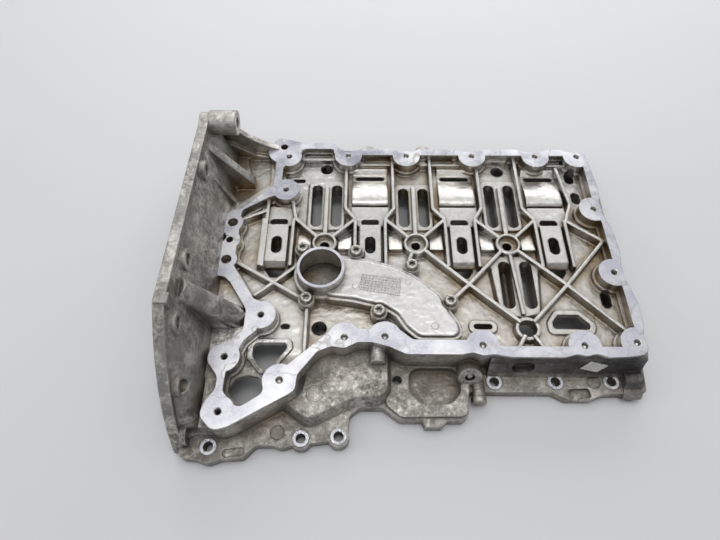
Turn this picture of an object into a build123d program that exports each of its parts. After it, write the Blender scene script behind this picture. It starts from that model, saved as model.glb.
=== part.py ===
from build123d import *
import math
import os

# Upper oil pan of a V engine. One die-cast body carries the sump rail, a baffle deck with
# drain slots and truss ribs, the crankcase flange and the lower half of the bell housing.
# A cast cover with a pick-up collar closes its oil channel. Millimetres, +Z towards the sump.
# The origin is on the middle bearing boss, in the crankcase joint face.

os.makedirs("parts", exist_ok=True)

# Heights above the crankcase joint face
rail_height = 45.0
rib_height = 40.0
deck_top = 31.0
deck_thickness = 4.0
flange_thickness = 12.0
spot_face_height = 13.0
terrace_height = 38.0
terrace_thickness = 5.0
# How far what stands on the deck reaches into it
overlap = 1.0

# Bearing bosses along the crankshaft
bearing_pitch = 90.0
bearing_count = 3
boss_radius = 12.3
boss_counterbore_radius = 9.6
boss_counterbore_depth = 6.0
boss_bolt_radius = 4.5
fourth_boss_hole_radius = 8.2
boss_draft = 2.0
fourth_boss_wall = 2.8
girder_width = 6.0
girder_length = 226.0
girder_foot = 3.0
wedge_offset = 20.0
wedge_width = 13.0

# Ribs of the deck
rib_width = 3.0
rib_draft = 7.0
bay_rib_offset = 15.0
rib_node_x = 30.0
rib_node_y = 29.0
spine_start = 12.0
spine_end = 72.0
spine_drop = 2.0
spine_width = 4.0

# Drain slots of the deck
far_slot_offset = 10.2
far_slot_width = 11.0
far_slot_start = 23.0
far_slot_lengths = (54.0, 50.0, 55.0)
near_slot_width = 11.5
near_slot_length = 51.0
near_slot_centre = (94.0, -43.5)
bay_slot_width = 10.2
bay_slot_length = 20.0
bay_slot_y = -1.6
bay_plate_width = 21.0
bay_plate_height = 38.5
funnel_height = 5.0
slot_plate_height = 34.0
slot_plate_width = 37.0
slot_plate_margin = 4.0
slot_plate_corner = 5.0
rim_height = 2.0
near_plate_height = 35.5
ledge_height = 38.0
near_plate = [
    (80.5, -12.5), (71, -20), (75, -72), (93.5, -77.5), (110.5, -73.5), (116, -20), (105, -12.5),
]
cross_slot_size = (18.0, 7.6)
cross_slot_y = 27.2
collar_wall = 2.6
collar_foot = 16.0

# Windage scoops between the bearings
scoop_width = 37.0
scoop_side = 3.0
scoop_far_slot = 5.5
scoop_far_slot_y = 88.0
scoop_near_slot = 2.6
scoop_near_slot_y = 48.0

# Tapped holes of the sump rail
rail_hole_radius = 2.5
rail_hole_depth = 12.0
countersink_depth = 0.9
rail_pad_radius = 14.5
left_pad_radius = 13.5
dowel_pad_wall = 5.2
dowel_shoulder_wall = 13.0
dowel_shoulder_drop = 5.0
middle_shoulder_wall = 9.0
foot_step_height = 35.0
foot_step_width = 2.2
large_hole_radius = 3.4
far_row_y = 109.3
far_row_x = (-68.3, -6.2, 64.0, 131.9, 176.3)
right_column = ((180.0, 39.3), (183.5, -34.7), (187.1, -105.9))
near_row = ((141.0, -109.0), (52.6, -109.2), (-32.4, -101.8), (-68.0, -102.9), (-121.6, -142.1))
left_pads = ((-143.3, -81.4), (-170.6, -121.5), (-169.3, -169.0), (-131.8, 62.2), (-131.9, 107.5))
dowel_pads = ((-182.0, -23.2), (-181.1, 20.1))
dowel_hole_radius = 5.0
middle_pad = (-181.7, -0.8)
corner_pad = (-138.0, 120.9)
corner_pad_radius = 17.0
corner_pad_centre = (-137.5, 115.0)
corner_pad_hole_radius = 4.0

# Bolt holes of the crankcase flange
flange_hole_radius = 4.3
spot_face_radius = 7.0
bolt_lobe_wall = 2.0
bolt_column_height = 8.0
dimple_radius = 6.2
dimple_depth = 1.4
blind_dimples = ((-124.3, -177.3), (155.8, -130.0))
near_land_height = 15.5
near_bolts = (
    (-181.5, -189.5), (-104.0, -182.3), (-71.9, -180.3), (-20.9, -131.2),
    (66.3, -131.0), (121.2, -130.6), (171.2, -130.2),
)
far_bolt_y = 137.0
far_bolt_x = (-160.0, -104.0, -47.5, 16.0, 76.0, 131.0, 186.0)
far_lobe_radius = 10.0

# Bell housing flange, square to the crankshaft at the left end
bell_face = -211.6
bell_thickness = 9.0
bell_bolt_radius = 5.5
bell_bolts = ((103.0, 97.0), (42.0, 96.0), (-57.0, 98.0), (-112.0, 92.0), (-152.0, 58.0), (-181.0, 20.0))
bell_boss_radius = 9.5
bell_boss_height = 5.0
long_boss_wall = 2.5
long_boss_height = 26.0
bell_back = -186.0
bell_wall = 5.0

# Oil channel and its cover
channel_wall = 3.2
channel_floor = 22.0
cover_seat = 37.0
gasket_thickness = 0.8
cover_plate = 4.0
cover_dome = 3.0
cover_edge_radius = 2.4
cover_wall = 3.0
cover_lip = 2.8
cover_room = 0.7
seat_width = 0.5
screw_tab = 0.6
collar_centre = (-91.0, -37.1)
pickup_collar_radius = 22.0
pickup_collar_wall = 2.6
pickup_collar_height = 10.5
screw_radius = 3.0
screw_head_radius = 6.4
screw_head_height = 4.0
screw_washer_radius = 7.2
screw_washer_thickness = 1.0
screw_top = screw_washer_thickness + screw_head_height
screw_grip = 15.0
screw_clearance = 0.3
screw_socket_radius = 2.4
screw_socket_depth = 2.4
screw_tip_gap = 1.0
cover_screws = (
    (-110.1, -9.6), (-58.7, -12.7), (-5.8, -28.0), (27.9, -66.0), (-37.4, -76.6), (-103.6, -64.0),
)
thread_play = 0.05

# Gallery boss in the near wall, closed by a ball
gallery_radius = 10.6
gallery_bore_radius = 4.6
gallery_drilling_radius = 3.5
gallery_seat_depth = 8.0
gallery_tilt = 24.0
gallery_face = (43.0, -131.0, 23.0)
gallery_length = 24.0
gallery_end = 4.0
ball_clearance = 0.1

bearing_x = [(i - (bearing_count - 1) / 2) * bearing_pitch for i in range(bearing_count)]
bay_x = [x + bearing_pitch / 2 for x in bearing_x]
left_bay_x = bearing_x[0] - bearing_pitch / 2 - 2.0
rail_holes = [(x, far_row_y) for x in far_row_x] + list(right_column) + list(near_row)
cover_top = cover_seat + gasket_thickness + cover_plate


def corner_radii(corners, largest):
    """Radius for each corner of a closed outline, as large as its two sides leave room for."""
    radii = []
    for i, corner in enumerate(corners):
        here = Vector(*corner)
        arriving = here - Vector(*corners[i - 1])
        leaving = Vector(*corners[(i + 1) % len(corners)]) - here
        half_turn = math.radians(arriving.get_angle(leaving)) / 2
        room = 0.45 * min(arriving.length, leaving.length) / math.tan(half_turn)
        radii.append(min(largest, room))
    return radii


def rounded_face(corners, largest):
    """Closed face through the corners, rounded at each of them."""
    with BuildLine() as outline:
        FilletPolyline(*corners, radius=corner_radii(corners, largest), close=True)
    make_face(outline.edges())


def rib(start, end, top=rib_height, width=rib_width):
    """Straight rib between two points of the deck, its sides drafted, not yet joined to anything."""
    run = Vector(*end) - Vector(*start)
    middle = (Vector(*start) + Vector(*end)) / 2
    crest = Plane(origin=(middle.X, middle.Y, top), x_dir=(run.X, run.Y, 0), z_dir=(0, 0, 1))
    with BuildSketch(crest) as outline:
        Rectangle(run.length, width)
    return extrude(outline.sketch, amount=deck_top - overlap - top, taper=-rib_draft, mode=Mode.PRIVATE)


# Outer edge of the sump rail, clockwise from the far left corner
rail_outer = [
    (-146, 136), (-120, 127.5), (-84, 127.5), (-76, 116), (-61, 116), (-54, 119), (-22, 119),
    (-14, 115.5), (1, 115.5), (8, 119), (47, 119), (55, 115.5), (72, 115.5), (80, 119), (113, 119),
    (121, 115.5), (139, 115.5), (147, 119.5), (158, 119.5), (167, 115.5), (185, 117), (188, 92),
    (190, 62), (187.5, 48), (187.5, 33), (193, 12), (194, -12), (191.5, -27), (192, -43),
    (197, -66), (197, -88), (194, -98), (196, -116), (178, -119), (160, -120), (150, -116.5),
    (141, -118.8), (133, -117), (122, -120), (76, -120), (62, -117.5), (52, -118.8), (43, -116),
    (34, -118), (-14, -118), (-29, -111), (-44, -107), (-56, -107), (-68, -113), (-79, -111),
    (-91, -116), (-107, -137), (-108, -151), (-160, -181), (-172, -184.5), (-184.5, -172),
    (-181, -160), (-174, -150), (-174, -139), (-185, -125), (-183, -113), (-166, -106), (-157, -96),
    (-157, -76), (-175, -48), (-181, -42), (-189, -41), (-197, -32), (-195, -21),
    (-190, -15), (-189, -5), (-184, 3), (-189, 9), (-191, 19), (-188.5, 29), (-184, 36), (-176, 36),
    (-145, 67), (-145, 103), (-155, 113),
]

# Inner edge of the sump rail, before its round pads stand out from it
rail_inner = [
    (-119, 119), (-84, 119), (-84, 110.5), (181, 110.5), (181, 52), (184.5, 22), (185, -22),
    (187.5, -54), (188, -110), (66, -110), (40, -104.5), (-8, -104.5), (-20, -94.5), (-78, -94.5),
    (-103, -117), (-117, -129.5), (-136, -139), (-134, -153), (-154, -166.5), (-168, -152),
    (-167.5, -136), (-155.5, -106), (-145, -96), (-145, -67), (-151, -66), (-174, -30), (-174, 35),
    (-147, 53), (-137, 56), (-137, 95), (-119, 100),
]

# Edge of the crankcase flange, clockwise from the far left corner
flange_outer = [
    (-206, 136), (-180, 128), (205, 128), (207, 90), (206, -96), (203, -120), (201, -139),
    (189, -144.5), (178, -140.5), (163, -141), (151, -146), (129, -146), (118, -140), (41, -140),
    (41, -161), (36, -166), (-19, -166), (-34, -155), (-54, -155), (-63, -162), (-64, -178),
    (-80, -184), (-112, -188), (-120, -190.5), (-128, -188), (-142, -188), (-152, -198.5),
    (-170, -199.5), (-181, -203.5), (-192, -200), (-206, -199),
]

# Hollow under the deck, where the crankshaft runs
crankcase_hollow = [
    (-181, 108), (-146, 118), (-88, 120), (-60, 111), (180, 111), (183, 40), (188, 0), (190, -112),
    (-12, -112), (-30, -105), (-56, -101), (-77, -103), (-89, -109), (-101, -127), (-104, -148),
    (-162, -174), (-181, -162),
]

# Bulge of the near wall above the flange, and the hollow behind it
belly_outline = [
    (-116, -156), (-98, -169), (-60, -150), (-36, -148), (-30, -142), (-30, -106), (-60, -96),
    (-90, -98), (-116, -122), (-126, -146),
]
belly_hollow = [(-103, -140), (-97, -158), (-60, -143), (-38, -141), (-38, -100), (-60, -96)]
belly_height = 25.0
belly_wall = 4.0

# Edge of the dome of the channel cover, from the collar along its far side
cover_edge = [
    (-91, -16), (-70, -20), (-48, -23), (-24, -30), (-8, -38), (4, -47), (16, -58), (22, -68),
    (27, -80), (33, -88), (34, -97), (29, -101), (-2, -101), (-12, -92), (-20, -79), (-32, -71),
    (-60, -64), (-91, -60),
]

# Openings through the near left corner and the deck
corner_openings = [
    [(-149, -103.3), (-120, -103.3), (-118.6, -108), (-132, -127.5), (-141, -128), (-149, -116)],
    [
        (-166.5, -146), (-162, -136), (-152, -133), (-141, -135), (-137, -141), (-136.5, -149),
        (-142, -156), (-152, -160.5), (-162, -155),
    ],
]
corner_rim = [
    (-153.5, -99.5), (-116, -99.5), (-114, -108), (-132, -132), (-141, -132), (-153.5, -118),
]
wide_rim = [(116.5, -81), (125, -69), (147.5, -69), (160.5, -83), (158, -93), (116.5, -93)]
wide_opening = [
    (121, -81), (127, -73.4), (145.8, -73.4), (155.5, -83.5), (153.5, -88.5), (121, -88),
]
round_deck_holes = ((-91.5, -88.2, 7.0), (-91.7, 101.4, 6.7), (92.6, 99.0, 6.7), (20, -88, 7.0))
oval_deck_holes = ((176.0, -57.0, 9.6, 17.5), (169.0, 90.5, 9.6, 15.0), (171.0, 63.5, 9.6, 15.0))
cross_deck_holes = (
    (-122.5, -86.5, 8.5, 5.5), (57.4, -86.1, 17.0, 5.5), (-121.0, 85.0, 14.0, 5.0),
    (-29.5, 105.5, 17.0, 4.0), (111.0, 105.0, 9.0, 8.0),
)

# Truss ribs of the deck, each from one node to the next
cross_nodes = ((47.6, -45.7), (139.2, -45.7), (-136.0, -45.2))
fourth_boss = (96.4, -89.9)
truss_ribs = [
    ((0, 0), cross_nodes[0]), (cross_nodes[0], fourth_boss), ((bearing_pitch, 0), cross_nodes[0]),
    (cross_nodes[0], (30.5, -62.5)), ((bearing_pitch, 0), cross_nodes[1]),
    (cross_nodes[1], fourth_boss), (cross_nodes[1], (184, -93)), (cross_nodes[1], (183, 3.5)),
    ((184, 3.5), (150, 29)), (cross_nodes[2], (-119, -30)), (cross_nodes[2], (-175, -22)),
    (cross_nodes[2], (-153, -59)), (cross_nodes[2], (-108, -62)), ((-bearing_pitch, 0), (-119, -30)),
    ((0, 0), (-8, -20)), (fourth_boss, (84, -112)), (fourth_boss, (109, -112)),
    ((-103, -70), (-103, -118)), ((-149, -27), (-149, 56)), ((-150, 39), (-174, 28)),
    ((152, 29), (159.5, 49)), ((159.5, 49), (153, 98)), ((-120, 29), (-125, 54)),
    ((122, 116), (122, 100)),
]
# Shoulders where the ribs of each bearing turn towards the far rail
shoulders = ((-70.2, 42.8), (-21.1, 41.8), (18.8, 42.8), (68.4, 43.9), (109.8, 43.9))

near_land = [(-30, -112), (43, -112), (43, -138), (39, -163), (-18, -164), (-31, -153)]
near_pocket = [(-10.5, -119), (36, -119), (35.5, -142), (26.5, -152.3), (-0.5, -152.3), (-10.5, -142)]
near_pocket_floor = 6.5
hex_pocket = [(130.5, -137), (150.5, -136), (151, -145), (132, -146.7)]

# Terrace at the left, between the bands of the rail and the bell housing
terrace_outline = [
    (-204, 122), (-140, 124), (-128, 60), (-172, 30), (-172, -34), (-150, -70), (-168, -180),
    (-204, -180), (-204, -44), (-190, -36), (-190, 32), (-204, 42),
]
terrace_pocket = [(-178, 113), (-152, 113), (-149.5, 74), (-181, 48), (-190, 66), (-170, 80)]
terrace_hollow = [
    (-181, 105), (-150, 108), (-152, 66), (-180, 34), (-181, -34), (-160, -96), (-181, -118),
]

# Bell housing in the plane of its face, as (y, z), and the shell between it and the terrace
bell_outline = [
    (-195, 0), (-190.7, 12.5), (-183, 31), (-172.5, 51), (-159, 70.5), (-143.5, 88), (-127, 103),
    (-107, 117.5), (91, 106), (104, 109), (116, 99), (121, 84), (128, 40), (135, 0),
]
bell_shell_front = [
    (-187, 0), (-176, 36), (-155, 66), (-132, 91), (-105, 110), (100, 97), (112, 84), (122, 40),
    (129, 0),
]
bell_shell_back = [
    (-184, 0), (-176, 20), (-165, 32), (-140, 37), (-104, 38), (98, 38), (110, 37), (120, 30),
    (127, 0),
]
bell_recess_mouth = [
    (-180, 0), (-169, 34), (-148, 61), (-126, 83), (-103, 95), (94, 84), (106, 74), (113, 40),
    (118, 0),
]
bell_recess_floor = [
    (-176, 0), (-168, 16), (-158, 26), (-138, 31), (-104, 32), (94, 32), (104, 31), (112, 26),
    (118, 0),
]
# Gussets as (y, thickness, top, reach, foot)
bell_gussets = (
    (75, 9, 96, -165, 42), (50, 5, 94, -182, 40), (-85, 16, 96, -163, 30), (-116, 5, 66, -188, 38),
)
tube_gusset = ((-203, -85, 98), (-163, -81, 34), 10.0)
gallery_axis = (0, -math.cos(math.radians(gallery_tilt)), math.sin(math.radians(gallery_tilt)))

# Drain slots as (x, y, length, width), the long way across the pan
drain_slots = []
for x, length in zip(bearing_x, far_slot_lengths):
    for side in (-1, 1):
        slot_y = far_slot_start + length / 2
        drain_slots.append((x + side * far_slot_offset, slot_y, length, far_slot_width))
for side in (-1, 1):
    slot_x = near_slot_centre[0] + side * far_slot_offset
    drain_slots.append((slot_x, near_slot_centre[1], near_slot_length, near_slot_width))
bays = [left_bay_x] + bay_x
for x in bays:
    drain_slots.append((x, bay_slot_y, bay_slot_length, bay_slot_width))

with BuildPart() as body:
    with BuildSketch():
        rounded_face(flange_outer, 6)
        with Locations(*[(x, far_bolt_y) for x in far_bolt_x]):
            Circle(far_lobe_radius)
        with Locations(*near_bolts):
            Circle(spot_face_radius + bolt_lobe_wall)
    extrude(amount=flange_thickness)
    with BuildSketch():
        rounded_face(rail_outer, 9)
        with Locations(corner_pad_centre):
            Circle(corner_pad_radius)
    extrude(amount=rail_height)
    # Belly of the near wall, and the land round the scooped pocket of the near edge
    with BuildSketch(Plane.XY.offset(belly_height)):
        rounded_face(belly_outline, 9)
    extrude(amount=flange_thickness - 1 - belly_height, taper=-22)
    with BuildSketch(Plane.XY.offset(near_land_height)):
        rounded_face(near_land, 7)
    extrude(amount=-near_land_height)
    with BuildSketch():
        Polygon((-2, -162), (25, -162), (17, -171.5), (3, -171.5), align=None)
    extrude(amount=flange_thickness)
    # Wall that slopes from the rail to the flange on the near side
    with BuildSketch(Plane.YZ.offset(60)):
        Polygon((-112, 38), (-119, 38), (-121, 28), (-127, 11), (-112, 11), align=None)
    extrude(amount=136)
    # Shoulder outside the dowel pads, and the terrace behind it
    with BuildSketch():
        with Locations(*dowel_pads):
            Circle(dowel_hole_radius + dowel_shoulder_wall)
        with Locations(middle_pad):
            Circle(dowel_hole_radius + middle_shoulder_wall)
    extrude(amount=rail_height - dowel_shoulder_drop)
    with BuildSketch():
        rounded_face(terrace_outline, 5)
    extrude(amount=terrace_height)
    # Bolt columns against the far wall, and spot faces
    with BuildSketch():
        for x in far_bolt_x[2:4]:
            with Locations((x, 126)):
                Rectangle(2 * far_lobe_radius, 22)
            with Locations((x, far_bolt_y)):
                Circle(far_lobe_radius)
    extrude(amount=flange_thickness + bolt_column_height)
    with BuildSketch():
        with Locations(*near_bolts):
            Circle(spot_face_radius)
    extrude(amount=spot_face_height)

with BuildPart() as body_cuts:
    with BuildSketch():
        rounded_face(crankcase_hollow, 10)
    extrude(amount=deck_top - deck_thickness)
    with BuildSketch():
        rounded_face(terrace_hollow, 6)
    extrude(amount=terrace_height - terrace_thickness - 4)
    with BuildSketch():
        rounded_face(belly_hollow, 8)
    extrude(amount=belly_height - belly_wall)
    with BuildSketch(Plane.XY.offset(terrace_height - 4)):
        rounded_face(terrace_pocket, 5)
    extrude(amount=5)
    with BuildSketch(Plane.XY.offset(near_pocket_floor)):
        rounded_face(near_pocket, 11)
    extrude(amount=near_land_height)
    with BuildSketch(Plane.XY.offset(flange_thickness - 4)):
        rounded_face(hex_pocket, 3)
    extrude(amount=6)
    with BuildSketch(Plane.XY.offset(flange_thickness - dimple_depth)):
        with Locations(*blind_dimples):
            Circle(dimple_radius)
        with Locations((-160, -194)):
            SlotOverall(19, 7, rotation=8)
    extrude(amount=3)

with BuildPart() as wall_cuts:
    # Slope at the near end of the terrace, and the small arch under the near rail
    with BuildSketch(Plane.YZ.offset(bell_face + 9)):
        Polygon((-134, 39), (-188, 13), (-188, 39), align=None)
    extrude(amount=17.5)
    with BuildSketch(Plane.XZ.offset(117)):
        with Locations((90.5, 25)):
            SlotOverall(20, 15)
    extrude(amount=14)

with BuildPart() as sump_pocket:
    # Sump side, open down to the deck between the round pads, with a step along its foot
    with BuildSketch(mode=Mode.PRIVATE) as pocket_plan:
        rounded_face(rail_inner, 7)
        with Locations(*rail_holes):
            Circle(rail_pad_radius, mode=Mode.SUBTRACT)
        with Locations(*left_pads):
            Circle(left_pad_radius, mode=Mode.SUBTRACT)
        with Locations(*dowel_pads, middle_pad):
            Circle(dowel_hole_radius + dowel_pad_wall, mode=Mode.SUBTRACT)
        with Locations(corner_pad_centre):
            Circle(corner_pad_radius, mode=Mode.SUBTRACT)
    with BuildSketch(Plane.XY.offset(foot_step_height)):
        add(pocket_plan.sketch)
    extrude(amount=rail_height - foot_step_height)
    with BuildSketch(Plane.XY.offset(deck_top)):
        add(pocket_plan.sketch)
        offset(amount=-foot_step_width)
    extrude(amount=foot_step_height - deck_top)

with BuildPart() as corner_cuts:
    with BuildSketch():
        for corners in corner_openings:
            rounded_face(corners, 5)
    extrude(amount=rail_height)

with BuildPart() as bell:
    # Flange plate, then the sloping wall behind it
    with BuildSketch(Plane.YZ.offset(bell_face)):
        rounded_face(bell_outline, 10)
    extrude(amount=bell_thickness)
    with BuildSketch(Plane.YZ.offset(bell_face + bell_thickness)):
        Polygon(*bell_shell_front, align=None)
    with BuildSketch(Plane.YZ.offset(bell_back)):
        Polygon(*bell_shell_back, align=None)
    loft(ruled=True)
    # Bosses behind the bolt holes
    with BuildSketch(Plane.YZ.offset(bell_face + bell_thickness)):
        with Locations(*bell_bolts):
            Circle(bell_boss_radius)
    extrude(amount=bell_boss_height)
    with BuildSketch(Plane.YZ.offset(bell_face + bell_thickness)):
        with Locations(bell_bolts[0]):
            Circle(bell_boss_radius + long_boss_wall)
    extrude(amount=long_boss_height)
    # Gussets down to the terrace
    for y, thickness, top, reach, foot in bell_gussets:
        with BuildSketch(Plane.XZ.offset(-y)):
            Polygon(
                (bell_face + 2, top), (bell_face + bell_thickness, top), (reach, foot), (reach, 30),
                (bell_face + 2, 30), align=None,
            )
        extrude(amount=thickness / 2, both=True)
    gusset_run = Vector(*tube_gusset[1]) - Vector(*tube_gusset[0])
    with BuildSketch(Plane(origin=tube_gusset[0], z_dir=gusset_run)):
        Circle(tube_gusset[2])
    extrude(amount=gusset_run.length)
    # Nub on the rim
    with BuildSketch(Plane.YZ.offset(bell_face + 1)):
        with Locations((-104, 113)):
            Rectangle(9, 12)
    extrude(amount=bell_thickness + 2)
    # Far wall, falling from the far boss to the corner pad
    with BuildSketch(Plane.XZ.offset(-120)):
        with BuildLine():
            Line((bell_face + 2, 78), (-186, 76))
            Spline((-186, 76), (-168, 58), (-144, 46), tangents=((0.6, -1), (1, -0.3)))
            Polyline((-144, 46), (-144, 0), (bell_face + 2, 0), (bell_face + 2, 78))
        make_face()
    extrude(amount=3, both=True)
    with BuildSketch(Plane.XZ.offset(-112)):
        Polygon(
            (bell_face + 2, 30), (bell_face + 2, 62), (-190, 56), (-168, 41), (-156, 38.5),
            (-150, 38.5), (-150, 30), align=None,
        )
    extrude(amount=-8)

with BuildPart() as bell_recess:
    with BuildSketch(Plane.YZ.offset(bell_face)):
        Polygon(*bell_recess_mouth, align=None)
    with BuildSketch(Plane.YZ.offset(bell_back - bell_wall)):
        Polygon(*bell_recess_floor, align=None)
    loft(ruled=True)

with BuildPart() as girders:
    # One girder under the deck at each bearing, round its boss tube
    with BuildSketch(Plane.XY.offset(girder_foot)):
        with GridLocations(bearing_pitch, 1, bearing_count, 1):
            Rectangle(girder_width, girder_length)
    extrude(amount=deck_top - deck_thickness - girder_foot + overlap)
    for x in bearing_x:
        with BuildSketch(Plane.XZ):
            Polygon(
                (x, 0), (x + boss_radius + boss_draft, 0), (x + boss_radius, rib_height - 1),
                (x + boss_radius - 1, rib_height), (x, rib_height), align=None,
            )
        revolve(axis=Axis((x, 0, 0), (0, 0, 1)))
    with BuildSketch(Plane.XY.offset(rib_height - 2)):
        with Locations(fourth_boss):
            Circle(fourth_boss_hole_radius + fourth_boss_wall)
    extrude(amount=deck_top - overlap - rib_height + 2, taper=-12)

with BuildPart() as slot_collars:
    with BuildSketch(Plane.XY.offset(collar_foot)):
        for x, y, length, width in drain_slots:
            with Locations((x, y)):
                SlotOverall(length + 2 * collar_wall, width + 2 * collar_wall, rotation=90)
    extrude(amount=deck_top - 2 - collar_foot)
    # Plates round the slots at the bearings, and low rims round the openings
    with BuildSketch(Plane.XY.offset(slot_plate_height)):
        for x, length in zip(bearing_x, far_slot_lengths):
            with Locations((x, far_slot_start + length / 2 + 1)):
                RectangleRounded(slot_plate_width, length + 2 * slot_plate_margin, slot_plate_corner)
    extrude(amount=deck_top - overlap - slot_plate_height, taper=-30)
    with BuildSketch(Plane.XY.offset(near_plate_height)):
        rounded_face(near_plate, 6)
    extrude(amount=deck_top - overlap - near_plate_height, taper=-35)
    with BuildSketch(Plane.XY.offset(deck_top + rim_height)):
        rounded_face(corner_rim, 5)
        rounded_face(wide_rim, 6)
        with Locations(cross_deck_holes[1][:2]):
            RectangleRounded(25, 12, 5)
    extrude(amount=-rim_height - overlap, taper=-20)

with BuildPart() as deck_ribs:
    ribs = [rib(start, end) for start, end in truss_ribs]
    for x in bearing_x:
        for side in (-1, 1):
            ribs.append(rib((x, 0), (x + side * rib_node_x, rib_node_y)))
        ribs.append(rib((x, spine_start), (x, spine_end), rib_height - spine_drop, spine_width))
    for x, y in shoulders:
        bearing = min(bearing_x, key=lambda centre: abs(x - centre))
        node_x = bearing + math.copysign(rib_node_x, x - bearing)
        ribs.append(rib((node_x, rib_node_y), (x, y)))
        ribs.append(rib((x, y), (x, 114)))
    for x in bays:
        for rib_x in (x - bay_rib_offset, x + bay_rib_offset):
            ribs.append(rib((rib_x, -26), (rib_x, rib_node_y)))
    ribs.append(rib((90.5, -12), (94.5, -76), top=rib_height - 1))
    add(ribs)

with BuildPart() as deck_pads:
    # Raised plate of each bay, with a ramp at its near end and a funnel at its far end
    for x in bays:
        with BuildSketch(Plane.YZ.offset(x - bay_plate_width / 2)):
            Polygon(
                (-25.2, deck_top - overlap), (-25.2, deck_top + 2), (-20.5, bay_plate_height),
                (22.5, bay_plate_height), (24, deck_top - overlap), align=None,
            )
        extrude(amount=bay_plate_width)
    with BuildSketch(Plane.XY.offset(deck_top - overlap)):
        for x in bays:
            Polygon(
                (x - 12, 22), (x + 12, 22), (x + 19, 40), (x + 19, 46.5), (x - 19, 46.5),
                (x - 19, 40), align=None,
            )
    extrude(amount=funnel_height + overlap)
    # Ledges along the far rail, between its pads
    with BuildSketch(Plane.XY.offset(deck_top - overlap)):
        with Locations((-37, 107), (30, 107), (-101, 114), (155, 107)):
            RectangleRounded(46, 11, 3)
        with Locations((90, 110)):
            RectangleRounded(26, 5, 2)
    extrude(amount=ledge_height - deck_top + overlap)
    # Wedges beside each boss, rising towards the near side
    for x in bearing_x:
        for side in (-1, 1):
            with BuildSketch(Plane.YZ.offset(x + side * wedge_offset - wedge_width / 2)):
                Polygon(
                    (-6, deck_top - overlap), (-6, 37.5), (20, 31.5), (20, deck_top - overlap),
                    align=None,
                )
            extrude(amount=wedge_width)
    # Scoops that shed oil off the crankshaft, one in every bay
    for x in bay_x:
        with BuildSketch(Plane.YZ.offset(x - scoop_width / 2)):
            with BuildLine():
                Polyline((102, 27), (102, 35), (97, 36), (92.5, 31.5), (84.5, 31.5))
                Spline((84.5, 31.5), (60, 37), (49.5, 33.5), tangents=((-1, 0.3), (-0.3, -1)))
                Polyline((49.5, 33.5), (49.5, 27), (102, 27))
            make_face()
        extrude(amount=scoop_width)

with BuildPart() as deck_pad_cuts:
    with BuildSketch(Plane.XY.offset(ledge_height - 4)):
        with Locations((-37, 107.5), (30, 107.5), (-101, 115), (156, 107)):
            RectangleRounded(30, 6, 2.4)
    extrude(amount=5)

with BuildSketch(mode=Mode.PRIVATE) as cover_dome_plan:
    rounded_face(cover_edge, 12)
    with Locations(collar_centre):
        Circle(pickup_collar_radius + 1)

with BuildSketch(mode=Mode.PRIVATE) as cover_plan:
    offset(cover_dome_plan.sketch, cover_lip)
    with Locations(*cover_screws):
        Circle(screw_washer_radius + screw_tab)

with BuildPart() as channel:
    # Trough of the oil channel with posts for the cover screws
    with BuildSketch(Plane.XY.offset(channel_floor - channel_wall)):
        add(cover_dome_plan.sketch)
        offset(amount=cover_lip)
    extrude(amount=cover_seat - channel_floor + channel_wall)
    with BuildSketch(Plane.XY.offset(deck_top - 2)):
        with Locations(*cover_screws):
            Circle(screw_washer_radius + screw_tab)
    extrude(amount=cover_seat - deck_top + 2)

with BuildPart() as channel_space:
    # Hollow of the trough, and the room above the seat that the cover takes
    with BuildSketch(Plane.XY.offset(channel_floor)):
        add(cover_dome_plan.sketch)
        offset(amount=-seat_width)
    extrude(amount=cover_seat - channel_floor)
    with BuildSketch(Plane.XY.offset(cover_seat)):
        add(cover_plan.sketch)
        offset(amount=cover_room)
    extrude(amount=rail_height)

with BuildPart() as gallery:
    # Tilted gallery boss and small horizontal bosses of the near wall, then the corner bosses
    gallery_plane = Plane(origin=gallery_face, z_dir=gallery_axis)
    with BuildSketch(gallery_plane):
        Circle(gallery_radius)
    extrude(amount=-gallery_length)
    with BuildSketch(Plane.XZ.offset(100)):
        with Locations((-38.5, 30)):
            Circle(7)
    extrude(amount=21)
    with BuildSketch(Plane.XZ.offset(130)):
        with Locations((51.5, 10)):
            Circle(6)
    extrude(amount=16)
    with BuildSketch(Plane.XZ.offset(145)):
        with Locations((51.5, 10)):
            Circle(6.8)
    extrude(amount=5)
    with BuildSketch(Plane.YZ.offset(180)):
        with Locations((-110.5, 32)):
            Circle(9)
        with Locations((-129, 15)):
            Circle(8)
        with Locations((-138, 8)):
            Circle(6.5)
    extrude(amount=16)

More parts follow.
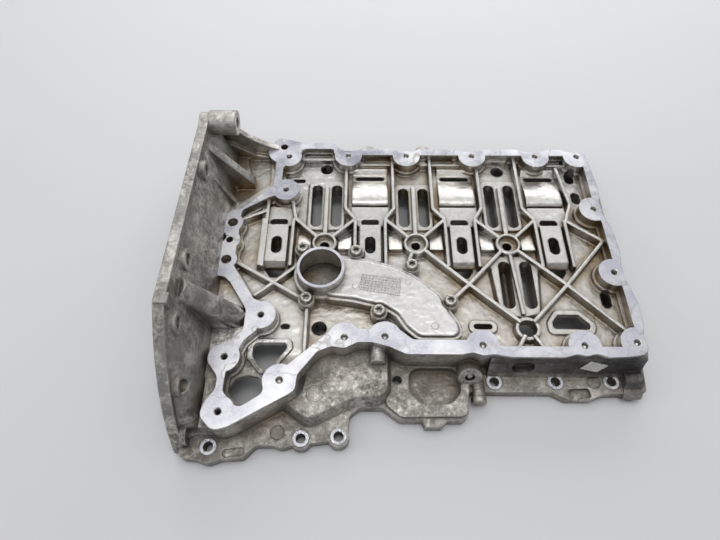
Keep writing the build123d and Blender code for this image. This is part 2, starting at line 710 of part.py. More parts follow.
with BuildPart() as holes:
    # Tapped holes of the rail, then the larger ones at the left
    with BuildSketch(Plane.XY.offset(rail_height - rail_hole_depth)):
        with Locations(*rail_holes, *left_pads):
            Circle(rail_hole_radius)
        with Locations(middle_pad):
            Circle(large_hole_radius)
        with Locations(corner_pad):
            Circle(corner_pad_hole_radius)
        with Locations(*dowel_pads):
            Circle(dowel_hole_radius)
    extrude(amount=rail_hole_depth)
    sink_height = rail_height - countersink_depth / 2
    with Locations(*[(x, y, sink_height) for x, y in rail_holes + list(left_pads)]):
        Cone(rail_hole_radius, rail_hole_radius + countersink_depth, countersink_depth)
    # Bolt holes of the crankcase flange
    with BuildSketch():
        with Locations(*near_bolts, *[(x, far_bolt_y) for x in far_bolt_x]):
            Circle(flange_hole_radius)
    extrude(amount=rail_height)
    # Stepped bores of the bearing bosses
    with BuildSketch():
        with Locations(*[(x, 0) for x in bearing_x]):
            Circle(boss_bolt_radius)
    extrude(amount=rib_height)
    with BuildSketch(Plane.XY.offset(rib_height - boss_counterbore_depth)):
        with Locations(*[(x, 0) for x in bearing_x]):
            Circle(boss_counterbore_radius)
    extrude(amount=boss_counterbore_depth)
    with BuildSketch():
        with Locations(fourth_boss):
            Circle(fourth_boss_hole_radius)
    extrude(amount=rib_height)
    # Slots and holes through the deck, which stop below the tops of the pads
    with BuildSketch(Plane.XY.offset(flange_thickness)):
        for x, y, width, length in oval_deck_holes:
            with Locations((x, y)):
                SlotOverall(length, width, rotation=90)
        for x, y, radius in round_deck_holes:
            with Locations((x, y)):
                Circle(radius)
        for x, y, width, height in cross_deck_holes:
            with Locations((x, y)):
                SlotOverall(width, height)
    extrude(amount=ledge_height + 0.5 - flange_thickness)
    with BuildSketch(Plane.XY.offset(collar_foot)):
        for x, y, length, width in drain_slots:
            with Locations((x, y)):
                SlotOverall(length, width, rotation=90)
        with Locations(*[(x, cross_slot_y) for x in bays]):
            SlotOverall(*cross_slot_size)
        with Locations(*[(x, scoop_far_slot_y) for x in bay_x]):
            SlotOverall(scoop_width - 2 * scoop_side, scoop_far_slot)
        with Locations(*[(x, scoop_near_slot_y) for x in bay_x]):
            Rectangle(scoop_width - 2 * scoop_side, scoop_near_slot)
        rounded_face(wide_opening, 3)
        for x in bays:
            rounded_face([(x - 11, -25.2), (x + 11, -25.2), (x + 4.4, -35), (x - 4.4, -35)], 1.5)
    extrude(amount=rail_height - collar_foot)
    # Bolt holes of the bell housing
    with BuildSketch(Plane.YZ.offset(bell_face)):
        with Locations(*bell_bolts):
            Circle(bell_bolt_radius)
    extrude(amount=bell_thickness + long_boss_height + overlap)
    with BuildSketch(gallery_plane):
        Circle(gallery_bore_radius)
    extrude(amount=-gallery_seat_depth)
    with BuildSketch(gallery_plane):
        Circle(gallery_drilling_radius)
    extrude(amount=gallery_end - gallery_length)
    with BuildSketch(Plane.XY.offset(cover_seat - screw_grip)):
        with Locations(*cover_screws):
            Circle(screw_radius + thread_play)
    extrude(amount=screw_grip)

with BuildPart() as pan_casting:
    add(body.part)
    add([body_cuts.part, wall_cuts.part, sump_pocket.part], mode=Mode.SUBTRACT)
    add([
        bell.part, girders.part, slot_collars.part, deck_ribs.part, deck_pads.part, gallery.part,
        channel.part,
    ])
    hollows = [bell_recess.part, deck_pad_cuts.part, channel_space.part, corner_cuts.part, holes.part]
    add(hollows, mode=Mode.SUBTRACT)

pan_casting.part.label = "pan_casting"
export_step(pan_casting.part, "parts/pan_casting.step")

with BuildPart() as channel_cover:
    # Dome with a rounded edge, base plate with a tab at each screw, then the pick-up collar
    with BuildSketch(Plane.XY.offset(cover_top)):
        add(cover_dome_plan.sketch)
        with Locations(*cover_screws):
            Circle(screw_washer_radius + 0.4, mode=Mode.SUBTRACT)
    extrude(amount=cover_dome)
    fillet(channel_cover.faces().sort_by(Axis.Z)[-1].edges(), cover_edge_radius)
    with BuildSketch(Plane.XY.offset(cover_seat + gasket_thickness)):
        add(cover_plan.sketch)
    extrude(amount=cover_plate)
    with BuildSketch(Plane.XY.offset(cover_top)):
        with Locations(collar_centre):
            Circle(pickup_collar_radius)
    extrude(amount=cover_dome + pickup_collar_height)
    with BuildSketch(Plane.XY.offset(cover_seat + gasket_thickness)):
        add(cover_dome_plan.sketch)
        offset(amount=-cover_wall)
    extrude(amount=cover_plate + cover_dome - cover_wall, mode=Mode.SUBTRACT)
    with Locations((*collar_centre, cover_top + cover_dome + pickup_collar_height)):
        Hole(pickup_collar_radius - pickup_collar_wall)
    with Locations(*[(x, y, cover_top) for x, y in cover_screws]):
        Hole(screw_radius + screw_clearance)

with BuildPart() as cover_gasket:
    with BuildSketch(Plane.XY.offset(cover_seat)):
        add(cover_plan.sketch)
        offset(cover_dome_plan.sketch, -seat_width, mode=Mode.SUBTRACT)
        with Locations(*cover_screws):
            Circle(screw_radius + screw_clearance, mode=Mode.SUBTRACT)
    extrude(amount=gasket_thickness)

with BuildPart() as cover_screw:
    # Shank, washer and head in one turning, with a plain round drive
    with BuildSketch(Plane.XZ):
        Polygon(
            (0, screw_tip_gap - screw_grip), (screw_radius, screw_tip_gap - screw_grip),
            (screw_radius, 0),
            (screw_washer_radius, 0), (screw_washer_radius, screw_washer_thickness),
            (screw_head_radius, screw_washer_thickness), (screw_head_radius - 1, screw_top),
            (screw_socket_radius, screw_top), (screw_socket_radius, screw_top - screw_socket_depth),
            (0, screw_top - screw_socket_depth), align=None,
        )
    revolve()

with BuildPart() as gallery_ball_plug:
    # The ball rests on the step between the bore and the drilling behind it
    ball_radius = gallery_bore_radius - ball_clearance
    ball_depth = gallery_seat_depth - math.sqrt(ball_radius**2 - gallery_drilling_radius**2)
    ball_centre = Vector(*gallery_face) - Vector(*gallery_axis) * ball_depth
    with Locations(ball_centre):
        Sphere(ball_radius)

channel_cover.part.label = "channel_cover"
cover_gasket.part.label = "cover_gasket"
gallery_ball_plug.part.label = "gallery_ball_plug"
export_step(channel_cover.part, "parts/channel_cover.step")
export_step(cover_gasket.part, "parts/cover_gasket.step")
export_step(gallery_ball_plug.part, "parts/gallery_ball_plug.step")
for i, (x, y) in enumerate(cover_screws):
    screw = cover_screw.part.moved(Location((x, y, cover_top)))
    screw.label = f"cover_screw_{i + 1}"
    export_step(screw, f"parts/cover_screw_{i + 1}.step")
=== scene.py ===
import math

import bmesh
import bpy
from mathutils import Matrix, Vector


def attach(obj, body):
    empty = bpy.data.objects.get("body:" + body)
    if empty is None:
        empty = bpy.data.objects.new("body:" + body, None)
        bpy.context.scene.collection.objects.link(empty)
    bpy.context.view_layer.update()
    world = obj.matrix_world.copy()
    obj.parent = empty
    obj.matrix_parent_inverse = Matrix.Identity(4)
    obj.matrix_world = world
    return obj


# Looks of the die-cast engine oil pan. Metres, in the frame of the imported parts.
# Small forms on it are placed in millimetres, as in the part's source.

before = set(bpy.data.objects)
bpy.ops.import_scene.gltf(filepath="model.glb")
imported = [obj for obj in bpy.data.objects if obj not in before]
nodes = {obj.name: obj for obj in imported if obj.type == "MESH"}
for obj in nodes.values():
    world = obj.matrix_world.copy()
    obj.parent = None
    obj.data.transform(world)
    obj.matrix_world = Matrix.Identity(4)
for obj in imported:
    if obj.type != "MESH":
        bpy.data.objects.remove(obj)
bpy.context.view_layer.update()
scene = bpy.context.scene

# Heights of the machined faces and of the cover, as in the part's source
RAIL = 0.045
SPOT_FACE = 0.013
COLLAR_TOP = 0.0553
DOME_TOP = 0.0448
BELLY_TOP = 0.025

# How far the shader rounds the edges off, and how far it looks for corners and pockets
SKIN_ROUNDING, MILLED_ROUNDING = 0.0021, 0.0005
CORNER_REACH, POCKET_REACH = 0.007, 0.030

# Zones of the outside dirt, and of the black grease with painted shade on the near wall, along an axis, each
# from its edge to its full strength
NEAR_SIDE_Y = (-0.113, -0.119)
UNDER_RAIL_Z = (0.044, 0.041)
ABOVE_RAIL_Z = (0.0455, 0.052)
LOW_Z = (0.0265, 0.0255)
FLANGE_Z = (0.030, 0.020)
BELL_X = (-0.140, -0.152)
BELL_RIM_X = (-0.180, -0.196)
BLACK_WALL_X = (0.05, 0.068)
BLACK_WALL_Z = (0.0125, 0.019)

# Colours of dirt, painted shade and bare metal
OIL_THICK, OIL_THIN = (0.19, 0.125, 0.055, 1), (0.42, 0.315, 0.17, 1)
CORNER_SHADE_DEEP, CORNER_SHADE_LIGHT = (0.06, 0.048, 0.035, 1), (0.16, 0.125, 0.085, 1)
ROAD_DARK, ROAD_PALE = (0.060, 0.046, 0.033, 1), (0.82, 0.775, 0.70, 1)
POCKET_SHADE = (0.085, 0.068, 0.052, 1)
FLANGE_BLOT = (0.13, 0.105, 0.08, 1)
HOUSING_STAIN = (0.10, 0.08, 0.062, 1)
BLACK_GREASE_AND_SHADE = (0.035, 0.033, 0.035, 1)
RUBBED_METAL = (0.78, 0.765, 0.74, 1)
MILLED_GREY, MILLED_PALE = (0.49, 0.495, 0.56, 1), (0.75, 0.75, 0.765, 1)
MILLED_STAIN = (0.26, 0.225, 0.19, 1)
OLD_SEALANT = (0.30, 0.275, 0.25, 1)


class Shader:
    """A node material built up one node at a time."""

    def __init__(self, name):
        self.material = bpy.data.materials.new(name)
        self.material.use_nodes = True
        self.tree = self.material.node_tree
        self.tree.nodes.clear()
        output = self.add("ShaderNodeOutputMaterial")
        self.surface = self.add("ShaderNodeBsdfPrincipled")
        self.link(self.surface.outputs["BSDF"], output.inputs["Surface"])
        self.place = self.add("ShaderNodeTexCoord").outputs["Object"]
        geometry = self.add("ShaderNodeNewGeometry")
        self.normal = geometry.outputs["Normal"]
        self.position = geometry.outputs["Position"]

    def add(self, kind, **values):
        node = self.tree.nodes.new(kind)
        for key, value in values.items():
            setattr(node, key, value)
        return node

    def link(self, source, target):
        self.tree.links.new(source, target)

    def put(self, socket, value):
        """Links a node's output in, or sets a plain number or colour."""
        if isinstance(value, bpy.types.NodeSocket):
            self.link(value, socket)
        else:
            socket.default_value = value

    def noise(self, scale, detail=4.0, roughness=0.55):
        node = self.add("ShaderNodeTexNoise")
        self.put(node.inputs["Vector"], self.place)
        self.put(node.inputs["Scale"], scale)
        self.put(node.inputs["Detail"], detail)
        self.put(node.inputs["Roughness"], roughness)
        return node.outputs["Fac"]

    def arcs(self, scale, distortion):
        """Waves in wide wandering rings round the row's Z axis."""
        node = self.add("ShaderNodeTexWave", wave_type="RINGS", rings_direction="Z")
        self.put(node.inputs["Vector"], self.place)
        self.put(node.inputs["Scale"], scale)
        self.put(node.inputs["Distortion"], distortion)
        return node.outputs["Fac"]

    def band(self, value, low, high, out_low=0.0, out_high=1.0):
        """Maps low..high of a value onto out_low..out_high, clamped."""
        node = self.add("ShaderNodeMapRange")
        self.put(node.inputs["Value"], value)
        self.put(node.inputs["From Min"], low)
        self.put(node.inputs["From Max"], high)
        self.put(node.inputs["To Min"], out_low)
        self.put(node.inputs["To Max"], out_high)
        return node.outputs["Result"]

    def maths(self, operation, a, b=0.0):
        node = self.add("ShaderNodeMath", operation=operation)
        self.put(node.inputs[0], a)
        self.put(node.inputs[1], b)
        return node.outputs["Value"]

    def product(self, *factors):
        total = factors[0]
        for factor in factors[1:]:
            total = self.maths("MULTIPLY", total, factor)
        return total

    def most(self, *values):
        top = values[0]
        for value in values[1:]:
            top = self.maths("MAXIMUM", top, value)
        return top

    def blend(self, factor, a, b):
        """Colour between a and b."""
        node = self.add("ShaderNodeMix", data_type="RGBA")
        self.put(node.inputs["Factor"], factor)
        self.put(node.inputs["A"], a)
        self.put(node.inputs["B"], b)
        return node.outputs["Result"]

    def between(self, factor, a, b):
        """Number between a and b."""
        node = self.add("ShaderNodeMix", data_type="FLOAT")
        self.put(node.inputs[0], factor)
        self.put(node.inputs[2], a)
        self.put(node.inputs[3], b)
        return node.outputs[0]

    def axis(self, vector, name):
        node = self.add("ShaderNodeSeparateXYZ")
        self.put(node.inputs["Vector"], vector)
        return node.outputs[name]

    def level(self, height, tolerance=0.00025):
        """1 on faces that point up at a height, 0 elsewhere."""
        up = self.band(self.axis(self.normal, "Z"), 0.97, 0.99)
        above = self.maths("SUBTRACT", self.axis(self.position, "Z"), height)
        near = self.band(self.maths("ABSOLUTE", above), tolerance, tolerance * 2, 1.0, 0.0)
        return self.product(up, near)

    def openness(self, distance, darkest=0.25):
        """0 in tight corners and 1 in the open, as seen within a distance."""
        node = self.add("ShaderNodeAmbientOcclusion", samples=6)
        self.put(node.inputs["Distance"], distance)
        return self.band(node.outputs["AO"], darkest, 0.95)

    def bump(self, height, strength, distance, before=None):
        node = self.add("ShaderNodeBump")
        self.put(node.inputs["Height"], height)
        self.put(node.inputs["Strength"], strength)
        self.put(node.inputs["Distance"], distance)
        if before:
            self.link(before, node.inputs["Normal"])
        return node.outputs["Normal"]

    def soften(self, radius):
        """Normal that rounds the edges off by a radius."""
        node = self.add("ShaderNodeBevel", samples=4)
        self.put(node.inputs["Radius"], radius)
        return node.outputs["Normal"]

    def turning(self, softened):
        """0 on plain ground, rising to 1 where a softened normal goes round an edge."""
        node = self.add("ShaderNodeVectorMath", operation="DOT_PRODUCT")
        self.put(node.inputs[0], softened)
        self.put(node.inputs[1], self.normal)
        return self.band(node.outputs["Value"], 0.985, 0.84)

    def finish(self, colour, metallic, roughness, normal):
        self.put(self.surface.inputs["Base Color"], colour)
        self.put(self.surface.inputs["Metallic"], metallic)
        self.put(self.surface.inputs["Roughness"], roughness)
        self.link(normal, self.surface.inputs["Normal"])
        return self.material


class CastAluminium(Shader):
    """Die-cast skin with oil film, grime and painted shade in its corners and pockets, and bright milled
    faces at the given heights.
    """

    def __init__(self, name, machined_heights, tone, dirty_outside):
        super().__init__(name)
        self.x, self.y, self.z = [self.axis(self.position, letter) for letter in "XYZ"]
        self.machined = self.most(*[self.level(height) for height in machined_heights])
        self.rounded = self.soften(self.between(self.machined, SKIN_ROUNDING, MILLED_ROUNDING))
        self.corner = self.openness(CORNER_REACH, 0.15)
        self.pocket = self.openness(POCKET_REACH, 0.30)
        # Noises that several layers share, from broad to fine
        self.film = self.noise(18.0, 6.0, 0.62)
        self.rub = self.noise(30.0, 7.0, 0.68)
        self.blotches = self.noise(52.0, 6.0, 0.72)
        self.mottle = self.noise(170.0, 5.0, 0.65)
        self.speckle = self.band(self.noise(300.0, 5.0, 0.80), 0.42, 0.58)
        self.grit = self.maths(
            "ADD", self.product(self.speckle, 0.5), self.product(self.band(self.blotches, 0.43, 0.57), 0.5)
        )
        # Where the outside is dirty, and how far the dirt there covers the skin
        near_side = self.product(self.band(self.y, *NEAR_SIDE_Y), self.band(self.z, *UNDER_RAIL_Z))
        low_side = self.band(self.z, *LOW_Z, 0.0, 0.9)
        self.outside = self.product(self.most(near_side, low_side, self.bell_housing()), dirty_outside)
        self.covered = self.product(self.outside, self.band(self.film, 0.36, 0.62, 0.95, 0.6))
        # Black oil grease and painted shade on the right part of the near wall
        self.black_wall = self.product(
            near_side, self.band(self.x, *BLACK_WALL_X), self.band(self.z, *BLACK_WALL_Z)
        )
        self.grease_and_shade = self.product(
            self.black_wall, dirty_outside, self.band(self.blotches, 0.3, 0.7, 0.95, 0.7)
        )
        colour = self.blend(self.machined, self.skin(tone), self.milled())
        self.finish(colour, self.metal_share(), self.gloss(), self.relief())

    def bell_housing(self):
        """Up to 1 on the rim of the bell housing, and on its walls above the rail."""
        upright = self.product(self.band(self.z, *ABOVE_RAIL_Z), self.band(self.x, *BELL_X), 0.85)
        return self.most(self.band(self.x, *BELL_RIM_X, 0.0, 0.85), upright)

    def skin(self, tone):
        """Colour of the cast skin under its oil, dirt, painted shade and wear."""
        darker = (*[channel * 0.80 for channel in tone], 1)
        skin = self.blend(self.band(self.mottle, 0.3, 0.7), darker, (*tone, 1))
        # Brown oil film, thickest where the pockets are deep
        oil = self.blend(self.mottle, OIL_THICK, OIL_THIN)
        filmed = self.product(
            self.band(self.pocket, 0.2, 0.86, 1.0, 0.0), self.band(self.film, 0.42, 0.60), 0.95
        )
        skin = self.blend(filmed, skin, oil)
        # Painted shade, dark brown, in the tight corners
        corner_shade = self.blend(self.film, CORNER_SHADE_DEEP, CORNER_SHADE_LIGHT)
        skin = self.blend(self.most(self.corner, self.band(self.film, 0.45, 0.6, 0.15, 0.6)), corner_shade, skin)
        skin = self.blend(self.covered, skin, self.road_dirt_and_shade())
        # Near-black grease and painted shade on the near wall
        skin = self.blend(self.grease_and_shade, skin, BLACK_GREASE_AND_SHADE)
        # Paler metal rubbed over the edges
        worn = self.product(
            self.turning(self.rounded), self.corner, self.band(self.blotches, 0.35, 0.6, 0.35, 0.8)
        )
        return self.blend(self.product(worn, self.between(self.black_wall, 0.75, 0.15)), skin, RUBBED_METAL)

    def road_dirt_and_shade(self):
        """Colour of the granular dirt on the near wall, the flange and the bell housing, with painted shade
        in its pockets.
        """
        outside_colour = self.blend(self.grit, ROAD_DARK, ROAD_PALE)
        # Painted shade where the pockets and the space under the rail are deep
        outside_colour = self.blend(self.band(self.pocket, 0.1, 0.97, 0.95, 0.0), outside_colour, POCKET_SHADE)
        low = self.band(self.z, *FLANGE_Z)
        blots = self.product(self.band(self.noise(29.0, 7.0, 0.8), 0.47, 0.56), low, 0.75)
        outside_colour = self.blend(blots, outside_colour, FLANGE_BLOT)
        bell = self.band(self.x, *BELL_X)
        stains = self.product(bell, self.band(self.noise(34.0, 7.0, 0.75), 0.48, 0.57), 0.85)
        return self.blend(stains, outside_colour, HOUSING_STAIN)

    def milled(self):
        """Colour of the milled faces: lilac grey, rubbed paler, with brown stains and old sealant."""
        milled = self.blend(self.band(self.rub, 0.38, 0.64), MILLED_GREY, MILLED_PALE)
        smear = self.band(self.noise(75.0, 7.0, 0.75), 0.60, 0.70)
        milled = self.blend(self.product(smear, 0.6), milled, MILLED_STAIN)
        # Thin wandering traces of sealant, where a slow noise crosses its middle
        course = self.noise(21.0, 3.0, 0.55)
        rising, falling = self.band(course, 0.4875, 0.498), self.band(course, 0.5125, 0.502)
        trace = self.product(rising, falling, self.band(self.rub, 0.40, 0.58, 0.15, 0.6))
        return self.blend(trace, milled, OLD_SEALANT)

    def metal_share(self):
        return self.between(self.machined, self.between(self.covered, 0.95, 0.55), 1.0)

    def gloss(self):
        clean = self.band(self.film, 0.3, 0.7, 0.24, 0.36)
        dirty = self.band(self.grit, 0.0, 1.0, 0.52, 0.34)
        cut = self.band(self.rub, 0.35, 0.65, 0.22, 0.36)
        return self.between(self.machined, self.between(self.outside, clean, dirty), cut)

    def relief(self):
        """Normal with the cast skin's swells, lumps and sand, the dirt's pits and the cutter's arcs."""
        swells = self.bump(self.noise(70.0, 2.0), self.between(self.machined, 0.5, 0.0), 0.0022, self.rounded)
        lumps = self.bump(self.noise(230.0, 3.0), self.between(self.machined, 0.45, 0.0), 0.0008, swells)
        grain = self.noise(1300.0, 3.0, 0.6)
        sand = self.bump(grain, self.between(self.machined, 0.25, 0.03), 0.0002, lumps)
        pits = self.bump(self.speckle, self.product(self.outside, 0.4), 0.0004, sand)
        marks = self.product(self.arcs(210.0, 2.5), self.machined)
        return self.bump(marks, 0.06, 0.00002, pits)


def plain_metal(name, colour, roughness, edge_radius, corner_shade=(0.03, 0.027, 0.022, 1)):
    """Bare or plated metal with fine wear and painted shade in its corners."""
    s = Shader(name)
    wear = s.noise(380.0, 5.0)
    worn = (*[channel * 0.6 for channel in colour], 1)
    tint = s.blend(s.band(wear, 0.35, 0.65), worn, (*colour, 1))
    # Painted shade in the corners, within 3 mm
    tint = s.blend(s.openness(0.003), corner_shade, tint)
    scratch = s.bump(s.noise(1800.0), 0.12, 0.0001, s.soften(edge_radius))
    return s.finish(tint, 0.95, s.band(wear, 0.3, 0.7, roughness, roughness + 0.2), scratch)


def dark_seal(name):
    """Matt black sealing material."""
    s = Shader(name)
    fine = s.noise(900.0)
    tint = s.blend(fine, (0.02, 0.02, 0.021, 1), (0.05, 0.05, 0.05, 1))
    return s.finish(tint, 0.0, 0.75, s.bump(fine, 0.2, 0.0002))


def dirty_label(name):
    """Bare white paper label, greyed by handling."""
    s = Shader(name)
    fine = s.noise(500.0, 5.0, 0.7)
    tint = s.blend(s.band(fine, 0.4, 0.62), (0.46, 0.45, 0.42, 1), (0.68, 0.67, 0.64, 1))
    return s.finish(tint, 0.0, 0.55, s.bump(fine, 0.15, 0.0001))


def floor_paint(name):
    """Pale matt paint, hardly uneven."""
    s = Shader(name)
    tint = s.blend(s.noise(3.0), (0.70, 0.71, 0.72, 1), (0.74, 0.75, 0.76, 1))
    return s.finish(tint, 0.0, 0.6, s.bump(s.noise(500.0), 0.02, 0.0002))


pan_skin = CastAluminium("pan_skin", (RAIL, SPOT_FACE), (0.69, 0.675, 0.645), 1.0).material
cover_skin = CastAluminium("cover_skin", (COLLAR_TOP,), (0.70, 0.69, 0.675), 0.0).material
screw_steel = plain_metal("screw_zinc", (0.62, 0.60, 0.54), 0.24, 0.0004)
thread_metal = plain_metal("cut_thread", (0.80, 0.79, 0.77), 0.25, 0.0001, (0.45, 0.43, 0.40, 1))
ball_steel = plain_metal("ball_steel", (0.62, 0.61, 0.59), 0.16, 0.0002)


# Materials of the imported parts

def dress(node, material):
    mesh = nodes[node].data
    mesh.materials.clear()
    mesh.materials.append(material)


dress("pan_casting", pan_skin)
dress("channel_cover", cover_skin)
dress("cover_gasket", dark_seal("gasket_black"))
dress("gallery_ball_plug", ball_steel)
for name in nodes:
    if name.startswith("cover_screw"):
        dress(name, screw_steel)


# Helpers for the small forms

def piece(name, verts, faces, material, smooth=False):
    """New piece of mesh that rides on the pan, with its points in the row frame."""
    mesh = bpy.data.meshes.new(name)
    mesh.from_pydata(verts, [], faces)
    mesh.materials.append(material)
    for polygon in mesh.polygons:
        polygon.use_smooth = smooth
    obj = bpy.data.objects.new(name, mesh)
    scene.collection.objects.link(obj)
    tidy = bmesh.new()
    tidy.from_mesh(mesh)
    bmesh.ops.recalc_face_normals(tidy, faces=tidy.faces)
    tidy.to_mesh(mesh)
    tidy.free()
    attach(obj, "root")
    return obj


def round_point(centre, radius, turn, height):
    """Point in metres on a ring given in millimetres."""
    x, y = centre
    ring = (x + radius * math.cos(turn), y + radius * math.sin(turn), height)
    return [value / 1000 for value in ring]


def fraction_turn(step, steps):
    return 2 * math.pi * step / steps


# Cut threads in the tapped holes of the rail: a ribbon that winds up each hole
TAPPED = [
    (-68.3, 109.3), (-6.2, 109.3), (64.0, 109.3), (131.9, 109.3), (176.3, 109.3), (180.0, 39.3),
    (183.5, -34.7), (187.1, -105.9), (141.0, -109.0), (52.6, -109.2), (-32.4, -101.8),
    (-68.0, -102.9), (-121.6, -142.1), (-143.3, -81.4), (-170.6, -121.5), (-169.3, -169.0),
    (-131.8, 62.2), (-131.9, 107.5),
]
THREAD_STEPS = 20
THREAD_TURNS = 10
THREAD_BOTTOM = 33.8
THREAD_PITCH = 1.0
THREAD_PROFILE = ((2.5, -0.42), (2.13, 0.0), (2.5, 0.42))

verts, faces = [], []
for hole in TAPPED:
    first = len(verts)
    for step in range(THREAD_STEPS * THREAD_TURNS + 1):
        turn = fraction_turn(step, THREAD_STEPS)
        height = THREAD_BOTTOM + THREAD_PITCH * step / THREAD_STEPS
        verts += [round_point(hole, radius, turn, height + rise) for radius, rise in THREAD_PROFILE]
        if step:
            here = first + 3 * step
            faces += [(here - 3, here - 2, here + 1, here), (here - 2, here - 1, here + 2, here + 1)]
piece("rail_threads", verts, faces, thread_metal, True)

# Floors of the tapped holes that show pale in the photograph
PALE_HOLES = TAPPED[:6] + TAPPED[7:13]
FLOOR_POINTS = 16
FLOOR_RINGS = ((2.45, 40.6), (1.2, 40.1))
FLOOR_TIP = 39.7

verts, faces = [], []
for hole in PALE_HOLES:
    rim = len(verts)
    ledge, tip = rim + FLOOR_POINTS, rim + 2 * FLOOR_POINTS
    for radius, height in FLOOR_RINGS:
        for point in range(FLOOR_POINTS):
            verts.append(round_point(hole, radius, fraction_turn(point, FLOOR_POINTS), height))
    verts.append(round_point(hole, 0.0, 0.0, FLOOR_TIP))
    for point in range(FLOOR_POINTS):
        after = (point + 1) % FLOOR_POINTS
        faces.append((rim + point, rim + after, ledge + after, ledge + point))
        faces.append((ledge + point, ledge + after, tip))
piece("hole_floors", verts, faces, thread_metal, True)

# Domed crown with a six-lobed recess on the head of each cover screw
SCREWS = (
    (-110.1, -9.6), (-58.7, -12.7), (-5.8, -28.0), (27.9, -66.0), (-37.4, -76.6), (-103.6, -64.0),
)
CROWN_POINTS = 60
CROWN_PROFILE = ((5.4, 46.7), (5.3, 47.1), (4.9, 47.45), (4.4, 47.6))
LOBE_RADIUS = 2.95
LOBE_SWING = 0.5
RECESS_FLOOR = 46.82


def crown_section(lobe):
    """Outline of the crown from its rim over the dome and down into the recess."""
    recess = ((lobe + 0.2, 47.6), (lobe, 47.4), (lobe - 0.1, RECESS_FLOOR))
    return CROWN_PROFILE + recess + ((2.35, RECESS_FLOOR), (2.3, 45.0))


verts, faces = [], []
for screw in SCREWS:
    first = len(verts)
    tightened = screw[0] / 9  # a different turn for each screw
    for point in range(CROWN_POINTS):
        turn = fraction_turn(point, CROWN_POINTS)
        section = crown_section(LOBE_RADIUS + LOBE_SWING * math.cos(6 * (turn + tightened)))
        verts += [round_point(screw, radius, turn, height) for radius, height in section]
        count = len(section)
        here, after = first + count * point, first + count * ((point + 1) % CROWN_POINTS)
        faces += [(here + i, here + i + 1, after + i + 1, after + i) for i in range(count - 1)]
piece("screw_crowns", verts, faces, screw_steel)


# Low raised patches

def raised_patch(points, height, rise, inset):
    """Low frustum over a convex outline: its points, then its side and top faces."""
    middle = Vector((sum(p[0] for p in points), sum(p[1] for p in points))) / len(points)
    levels = ((height - 0.0001, 0.0), (height + rise * 0.6, inset * 0.4), (height + rise, inset))
    verts = []
    for level, shrink in levels:
        for point in points:
            inward = (middle - Vector(point)).normalized() * shrink
            verts.append((point[0] + inward.x, point[1] + inward.y, level))
    count = len(points)
    sides = []
    for level in (0, count):
        for i in range(count):
            after = (i + 1) % count
            sides.append((level + i, level + after, level + count + after, level + count + i))
    return verts, sides + [tuple(range(2 * count, 3 * count))]


def patches(name, outlines, height, rise, inset, material):
    verts, faces = [], []
    for outline in outlines:
        more, sides = raised_patch(outline, height, rise, inset)
        faces += [tuple(len(verts) + i for i in side) for side in sides]
        verts += more
    piece(name, verts, faces, material)


def disc(centre, radius, count=40):
    turns = [fraction_turn(i, count) for i in range(count)]
    return [(centre[0] + radius * math.cos(t), centre[1] + radius * math.sin(t)) for t in turns]


# Grid of raised squares on the cover
GRID_CORNERS = ((-53.2, -37.3), (-15.5, -42.8), (-18.0, -62.1), (-56.4, -55.3))
COLUMNS, ROWS = 12, 7
GROOVE = 0.16  # on each side of a square, as a share of its cell


def on_grid(u, v):
    far_left, far_right, near_right, near_left = [Vector(corner) / 1000 for corner in GRID_CORNERS]
    return tuple(far_left.lerp(far_right, u).lerp(near_left.lerp(near_right, u), v))


squares = []
for column in range(COLUMNS):
    for row in range(ROWS):
        left, right = (column + GROOVE) / COLUMNS, (column + 1 - GROOVE) / COLUMNS
        top, bottom = (row + GROOVE) / ROWS, (row + 1 - GROOVE) / ROWS
        square = [(left, top), (right, top), (right, bottom), (left, bottom)]
        squares.append([on_grid(u, v) for u, v in square])
patches("cover_grid", squares, DOME_TOP, 0.0005, 0.0003, cover_skin)

# Round ejector marks, on the cover and on the belly
cover_marks = [
    disc((-0.0589, -0.0512), 0.0032),
    disc((0.0122, -0.0913), 0.0034),
    disc((-0.010, -0.047), 0.0028),
]
patches("cover_marks", cover_marks, DOME_TOP, 0.0004, 0.0003, cover_skin)
belly_marks = [disc((-0.093, -0.147), 0.0075)]
patches("belly_mark", belly_marks, BELLY_TOP, 0.0005, 0.0005, pan_skin)

# Bare label on the sloping near wall
LABEL_CORNERS = [(140.5, -122.0, 25.1), (147.1, -119.5, 35.4), (163.9, -120.7, 29.4), (156.2, -123.5, 20.9)]
LABEL_LIFT = 0.0009
LABEL_THICKNESS = 0.0006
outward = Vector((0, -0.94, 0.34))
label_front = [Vector(corner) / 1000 + outward * LABEL_LIFT for corner in LABEL_CORNERS]
label_back = [point - outward * LABEL_THICKNESS for point in label_front]
label_faces = [(0, 1, 2, 3), (4, 7, 6, 5), (0, 4, 5, 1), (1, 5, 6, 2), (2, 6, 7, 3), (3, 7, 4, 0)]
piece("bare_label", label_front + label_back, label_faces, dirty_label("label_paper"))

# Camera, where the photograph was taken from
camera_data = bpy.data.cameras.new("camera")
camera_data.sensor_width = 36.0
camera_data.lens = 27.05
camera = bpy.data.objects.new("camera", camera_data)
camera.location = (-0.0527, -0.2957, 0.480)
camera.rotation_euler = (math.radians(31.0), 0.0, math.radians(0.45))
scene.collection.objects.link(camera)
scene.camera = camera

# Pale floor, just under the part, that bends up into a wall far behind it
FLOOR_SIDE = 4.0
FLOOR_FRONT, FLOOR_LEVEL = -3.0, -0.0003
BEND_START, BEND_RADIUS, BEND_STEPS = 1.2, 0.8, 8
WALL_TOP = 3.0

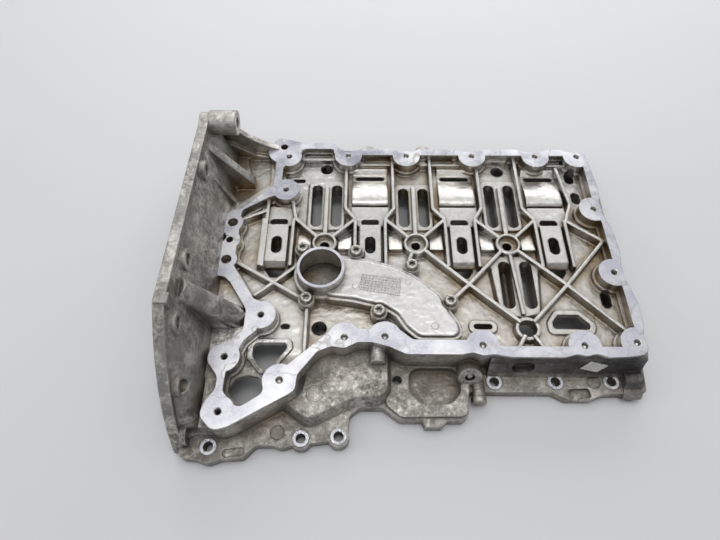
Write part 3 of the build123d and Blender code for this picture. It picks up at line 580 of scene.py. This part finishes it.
floor_profile = [(FLOOR_FRONT, FLOOR_LEVEL), (BEND_START, FLOOR_LEVEL)]
for step in range(1, BEND_STEPS + 1):
    turn = math.radians(90 * step / BEND_STEPS)
    bend = (BEND_START + BEND_RADIUS * math.sin(turn), BEND_RADIUS - BEND_RADIUS * math.cos(turn))
    floor_profile.append(bend)
floor_profile.append((BEND_START + BEND_RADIUS, WALL_TOP))

sheet = bmesh.new()
rows = [[sheet.verts.new((x, y, z)) for x in (-FLOOR_SIDE, FLOOR_SIDE)] for y, z in floor_profile]
for low, high in zip(rows, rows[1:]):
    sheet.faces.new((low[0], low[1], high[1], high[0]))
floor_mesh = bpy.data.meshes.new("floor")
sheet.to_mesh(floor_mesh)
sheet.free()
for face in floor_mesh.polygons:
    face.use_smooth = True
floor_mesh.materials.append(floor_paint("floor_paint"))
floor = bpy.data.objects.new("floor", floor_mesh)
scene.collection.objects.link(floor)


# Soft studio light: a broad ceiling, a small lamp overhead, a window far behind and two weak fills

def softbox(name, place, target, size, power, colour):
    data = bpy.data.lights.new(name, "AREA")
    data.shape = "RECTANGLE"
    data.size, data.size_y = size
    data.energy = power
    data.color = colour
    lamp = bpy.data.objects.new(name, data)
    lamp.location = place
    lamp.rotation_euler = (Vector(target) - Vector(place)).to_track_quat("-Z", "Y").to_euler()
    scene.collection.objects.link(lamp)


WHITE, WARM_WHITE, COOL_WHITE = (1.0, 1.0, 1.0), (1.0, 0.99, 0.97), (0.95, 0.97, 1.0)
softbox("ceiling", (0.0, 0.55, 1.8), (0, 0, 0), (2.6, 1.5), 9.5, WARM_WHITE)
softbox("overhead", (-0.02, -0.06, 1.6), (-0.02, -0.06, 0), (0.7, 0.55), 4.2, WARM_WHITE)
softbox("window", (0.1, 1.15, 0.62), (0, 0.05, 0), (2.12, 0.55), 8.3, WHITE)
softbox("side", (-1.5, -0.2, 0.9), (0, 0, 0), (0.9, 0.7), 3.2, COOL_WHITE)
softbox("front", (0.3, -1.3, 1.3), (0, 0, 0), (1.0, 0.5), 2.4, WHITE)

world = bpy.data.worlds.new("room")
world.use_nodes = True
background = world.node_tree.nodes["Background"]
background.inputs["Color"].default_value = (0.86, 0.89, 0.94, 1)
background.inputs["Strength"].default_value = 0.38
scene.world = world
scene.view_settings.view_transform = "Standard"
